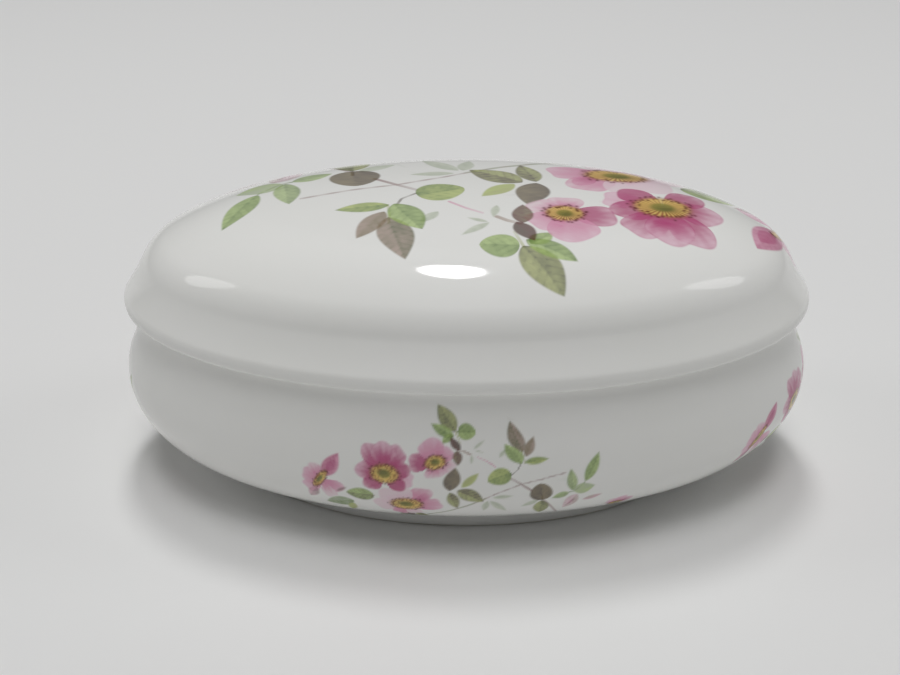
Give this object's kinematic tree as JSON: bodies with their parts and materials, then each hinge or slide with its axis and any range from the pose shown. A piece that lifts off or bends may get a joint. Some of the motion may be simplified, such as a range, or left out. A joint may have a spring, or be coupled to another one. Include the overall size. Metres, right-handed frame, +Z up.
{
  "type": "powder jar",
  "caption": "Low oval porcelain powder jar: a full-bellied bowl on a foot ring, and a domed lid with a rolled edge that lifts off a collar.",
  "frame": {"origin": "centre of the foot ring's flat face, at the bottom of the jar", "axes": "+Z up; X along the oval's longer width; -Y towards the side with the bowl's front flower spray"},
  "size_m": [0.152, 0.0912, 0.064],
  "materials": {
    "bowl_porcelain": "gloss",
    "lid_porcelain": "gloss"
  },
  "bodies": {
    "bowl": {"bowl": "bowl_porcelain"},
    "lid": {"lid": "lid_porcelain"}
  },
  "joints": [
    {"name": "lid_lift", "type": "slide", "parent": "bowl", "child": "lid", "axis": [0, 0, 1], "range_m": [0, 0.06]}
  ]
}
